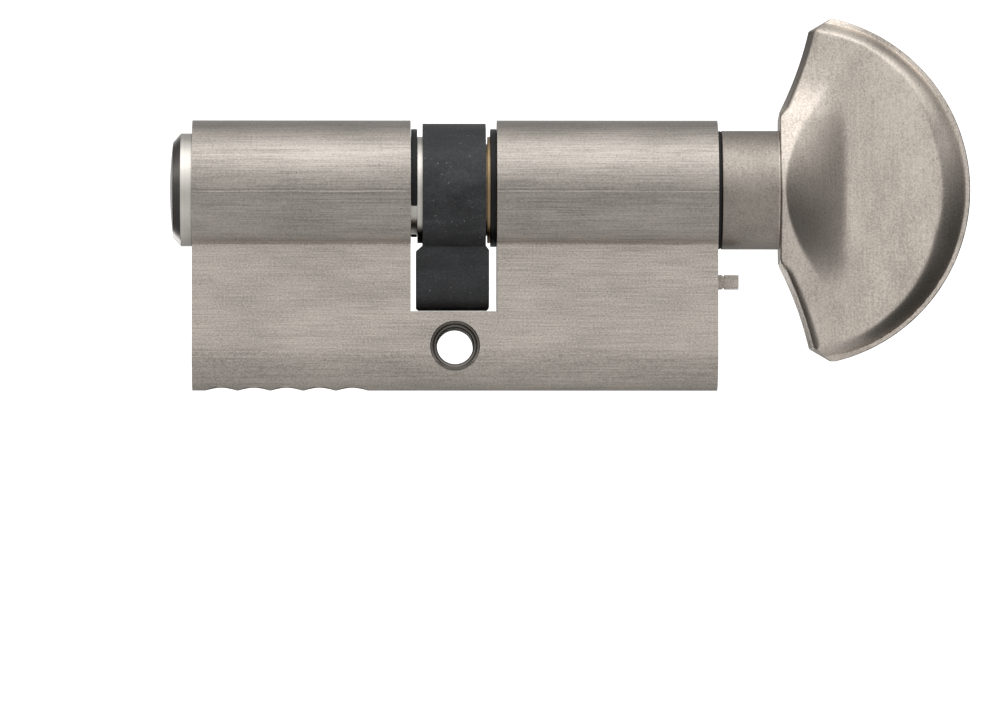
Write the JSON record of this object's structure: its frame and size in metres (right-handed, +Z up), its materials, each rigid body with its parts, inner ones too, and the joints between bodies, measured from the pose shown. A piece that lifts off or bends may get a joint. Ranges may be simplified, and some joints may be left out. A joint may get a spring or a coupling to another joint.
{
  "type": "euro profile cylinder",
  "caption": "Euro profile lock cylinder with a key plug on one side, a half-moon thumbturn on the other and a cam between them.",
  "frame": {"origin": "centre of the fixing screw's hole, from which both sides of the cylinder are measured", "axes": "+X along the plug axis from the key side to the thumbturn, +Y along the fixing screw's hole, +Z up from the web to the round head"},
  "size_m": [0.0976, 0.017, 0.0454],
  "materials": {
    "brushed_nickel": "satin nickel on brass, brushed lengthwise",
    "turned_nickel": "nickel-plated, turned",
    "cast_nickel": "satin nickel on a zinc casting",
    "blackened_steel": "blackened sintered steel",
    "spring_steel_black": "phosphated spring steel",
    "pin_brass": "turned brass",
    "pin_steel": "turned steel",
    "spring_wire": "drawn stainless wire",
    "spindle_metal": "turned nickel silver",
    "black_nylon": "matte",
    "black_oxide_screw": "black oxide steel"
  },
  "bodies": {
    "housing": {"housing": "brushed_nickel", "chamber_caps": "pin_brass", "locating_peg": "brushed_nickel", "pin_spring_1": "spring_wire", "pin_spring_2": "spring_wire", "pin_spring_3": "spring_wire", "pin_spring_4": "spring_wire", "pin_spring_5": "spring_wire"},
    "key_plug": {"key_plug": "turned_nickel", "key_plug_clip": "spring_steel_black"},
    "key_dog": {"key_clutch": "pin_steel"},
    "cam": {"cam": "blackened_steel"},
    "thumbturn": {"turn_spindle": "spindle_metal", "turn_clip": "spring_steel_black", "friction_washer": "black_nylon", "neck_collar": "cast_nickel", "grub_screw": "black_oxide_screw", "knob": "cast_nickel", "clutch_spring": "spring_wire"},
    "turn_dog": {"turn_clutch": "pin_steel"},
    "key_pin_1": {"key_pin_1": "pin_brass"},
    "key_pin_2": {"key_pin_2": "pin_brass"},
    "key_pin_3": {"key_pin_3": "pin_brass"},
    "key_pin_4": {"key_pin_4": "pin_brass"},
    "key_pin_5": {"key_pin_5": "pin_brass"},
    "driver_1": {"driver_pin_1": "pin_steel"},
    "driver_2": {"driver_pin_2": "pin_steel"},
    "driver_3": {"driver_pin_3": "pin_steel"},
    "driver_4": {"driver_pin_4": "pin_steel"},
    "driver_5": {"driver_pin_5": "pin_steel"}
  },
  "joints": [
    {"name": "thumbturn_turn", "type": "hinge", "parent": "housing", "child": "thumbturn", "pos_m": [0.0354, 0, 0.0192], "axis": [1, 0, 0], "continuous": true},
    {"name": "cam_turn", "type": "hinge", "parent": "housing", "child": "cam", "pos_m": [0, 0, 0.0192], "axis": [1, 0, 0], "continuous": true},
    {"name": "key_plug_turn", "type": "hinge", "parent": "housing", "child": "key_plug", "pos_m": [-0.02, 0, 0.0192], "axis": [1, 0, 0], "continuous": true},
    {"name": "key_clutch_slide", "type": "slide", "parent": "key_plug", "child": "key_dog", "axis": [1, 0, 0], "range_m": [0, 0.0024]},
    {"name": "turn_clutch_slide", "type": "slide", "parent": "thumbturn", "child": "turn_dog", "axis": [1, 0, 0], "range_m": [0, 0.0024], "stiffness_N_per_m": 300, "springref_m": -0.003, "deforming": ["clutch_spring"]},
    {"name": "key_pin_1_lift", "type": "slide", "parent": "key_plug", "child": "key_pin_1", "axis": [0, 0, 1], "range_m": [0, 0.0026]},
    {"name": "key_pin_2_lift", "type": "slide", "parent": "key_plug", "child": "key_pin_2", "axis": [0, 0, 1], "range_m": [0, 0.0014]},
    {"name": "key_pin_3_lift", "type": "slide", "parent": "key_plug", "child": "key_pin_3", "axis": [0, 0, 1], "range_m": [0, 0.0023]},
    {"name": "key_pin_4_lift", "type": "slide", "parent": "key_plug", "child": "key_pin_4", "axis": [0, 0, 1], "range_m": [0, 0.0011]},
    {"name": "key_pin_5_lift", "type": "slide", "parent": "key_plug", "child": "key_pin_5", "axis": [0, 0, 1], "range_m": [0, 0.002]},
    {"name": "driver_1_press", "type": "slide", "parent": "housing", "child": "driver_1", "axis": [0, 0, -1], "range_m": [0, 0.0015], "stiffness_N_per_m": 150, "springref_m": -0.004, "deforming": ["pin_spring_1"]},
    {"name": "driver_2_press", "type": "slide", "parent": "housing", "child": "driver_2", "axis": [0, 0, -1], "range_m": [0, 0.0015], "stiffness_N_per_m": 150, "springref_m": -0.004, "deforming": ["pin_spring_2"]},
    {"name": "driver_3_press", "type": "slide", "parent": "housing", "child": "driver_3", "axis": [0, 0, -1], "range_m": [0, 0.0015], "stiffness_N_per_m": 150, "springref_m": -0.004, "deforming": ["pin_spring_3"]},
    {"name": "driver_4_press", "type": "slide", "parent": "housing", "child": "driver_4", "axis": [0, 0, -1], "range_m": [0, 0.0015], "stiffness_N_per_m": 150, "springref_m": -0.004, "deforming": ["pin_spring_4"]},
    {"name": "driver_5_press", "type": "slide", "parent": "housing", "child": "driver_5", "axis": [0, 0, -1], "range_m": [0, 0.0015], "stiffness_N_per_m": 150, "springref_m": -0.004, "deforming": ["pin_spring_5"]}
  ],
  "couplings": [
    {"joint": "cam_turn", "follows": "thumbturn_turn", "ratio": 1},
    {"joint": "turn_clutch_slide", "follows": "key_clutch_slide", "ratio": 1}
  ]
}
